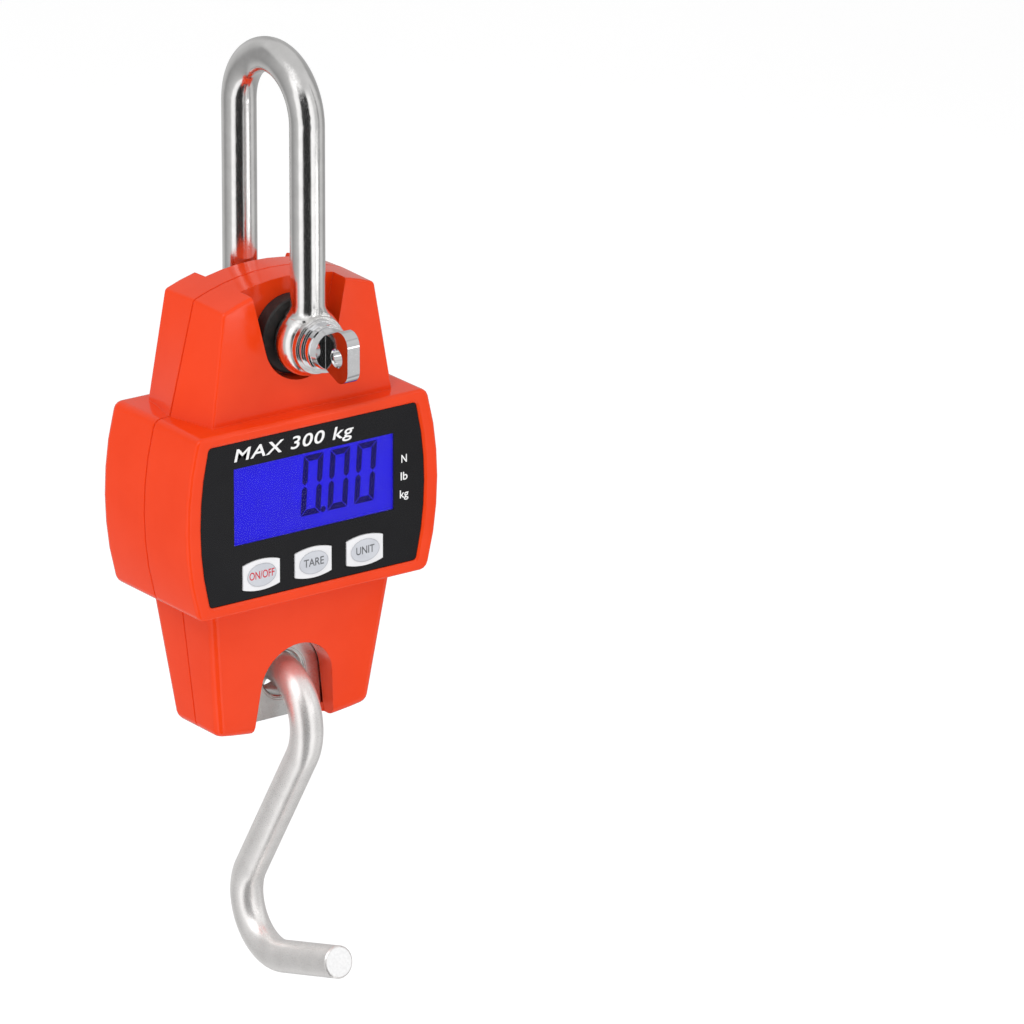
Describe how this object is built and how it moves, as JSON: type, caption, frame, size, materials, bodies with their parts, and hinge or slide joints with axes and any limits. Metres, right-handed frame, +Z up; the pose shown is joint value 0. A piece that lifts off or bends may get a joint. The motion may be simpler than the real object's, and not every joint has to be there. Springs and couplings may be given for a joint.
{
  "type": "crane scale",
  "caption": "Hand-held digital hanging scale: plastic housing on a load cell, screw-pin shackle above, open steel hook below.",
  "frame": {"origin": "inner crown of the shackle's bow, where the scale hangs", "axes": "+Z up along the load line; the display faces -Y; +X to the right as seen from the front"},
  "size_m": [0.0726, 0.053, 0.2357],
  "materials": {
    "steel_polished": "polished",
    "hook_steel": "satin",
    "shell_plastic": "gloss",
    "screw_steel": "satin",
    "cell_steel": "satin",
    "bush_steel": "turned",
    "gauge_foil": "satin",
    "rubber_black": "matt",
    "foam": "matt",
    "board_green": "solder mask",
    "chip_black": "matt",
    "can_silver": "satin",
    "capacitor_blue": "sleeve",
    "lcd_glass": "lit",
    "backlight_white": "satin",
    "connector_rubber": "matt",
    "window_clear": "clear",
    "fascia_black": "gloss",
    "key_white": "satin",
    "cable_grey": "satin",
    "wire_red": "gloss",
    "wire_black": "gloss",
    "contact_metal": "nickel plate",
    "battery_jacket": "printed jacket"
  },
  "bodies": {
    "shackle": {"shackle_bow": "steel_polished"},
    "washer": {"pin_washer": "steel_polished"},
    "pin": {"shackle_pin": "steel_polished"},
    "housing": {"front_shell": "shell_plastic", "rear_shell": "shell_plastic", "case_screws": "screw_steel", "load_cell": "cell_steel", "upper_bush": "bush_steel", "lower_bush": "bush_steel", "strain_gauges": "gauge_foil", "front_grommet": "rubber_black", "rear_grommet": "rubber_black", "main_board": "board_green", "board_screws": "screw_steel", "controller_chip": "chip_black", "adc_chip": "chip_black", "crystal": "can_silver", "buzzer": "chip_black", "capacitor": "capacitor_blue", "tact_switches": "chip_black", "lcd_panel": "lcd_glass", "lcd_backlight": "backlight_white", "lcd_connectors": "connector_rubber", "lcd_frame": "backlight_white", "display_window": "window_clear", "fascia_overlay": "fascia_black", "cell_cable": "cable_grey", "battery_wire_red": "wire_red", "battery_wire_black": "wire_black", "battery_springs": "contact_metal", "battery_plates": "contact_metal", "battery_1": "battery_jacket", "battery_2": "battery_jacket", "battery_3": "battery_jacket"},
    "hook": {"hook": "hook_steel"},
    "cover": {"battery_cover": "shell_plastic", "cover_foam": "foam"},
    "key_on_off": {"key_on_off": "key_white"},
    "key_tare": {"key_tare": "key_white"},
    "key_unit": {"key_unit": "key_white"}
  },
  "joints": [
    {"name": "housing_swing", "type": "hinge", "parent": "shackle", "child": "housing", "pos_m": [0, 0.00175, -0.06225], "axis": [0, 1, 0], "range_deg": [-25, 25]},
    {"name": "pin_slide", "type": "slide", "parent": "shackle", "child": "washer", "axis": [0, -1, 0], "range_m": [0, 0.00875]},
    {"name": "pin_turn", "type": "hinge", "parent": "washer", "child": "pin", "pos_m": [0, 0.00175, -0.06225], "axis": [0, -1, 0], "range_deg": [0, 2520]},
    {"name": "hook_swing", "type": "hinge", "parent": "housing", "child": "hook", "pos_m": [0, 0.00175, -0.14945], "axis": [0, 1, 0], "range_deg": [-25, 25]},
    {"name": "cover_open", "type": "hinge", "parent": "housing", "child": "cover", "pos_m": [0, 0.01925, -0.08695], "axis": [1, 0, 0], "range_deg": [0, 75]},
    {"name": "on_off_press", "type": "slide", "parent": "housing", "child": "key_on_off", "axis": [0, 1, 0], "range_m": [0, 0.0003], "stiffness_N_per_m": 6400},
    {"name": "tare_press", "type": "slide", "parent": "housing", "child": "key_tare", "axis": [0, 1, 0], "range_m": [0, 0.0003], "stiffness_N_per_m": 6400},
    {"name": "unit_press", "type": "slide", "parent": "housing", "child": "key_unit", "axis": [0, 1, 0], "range_m": [0, 0.0003], "stiffness_N_per_m": 6400}
  ],
  "couplings": [
    {"joint": "pin_turn", "follows": "pin_slide", "rad_per_m": 5026.5}
  ]
}
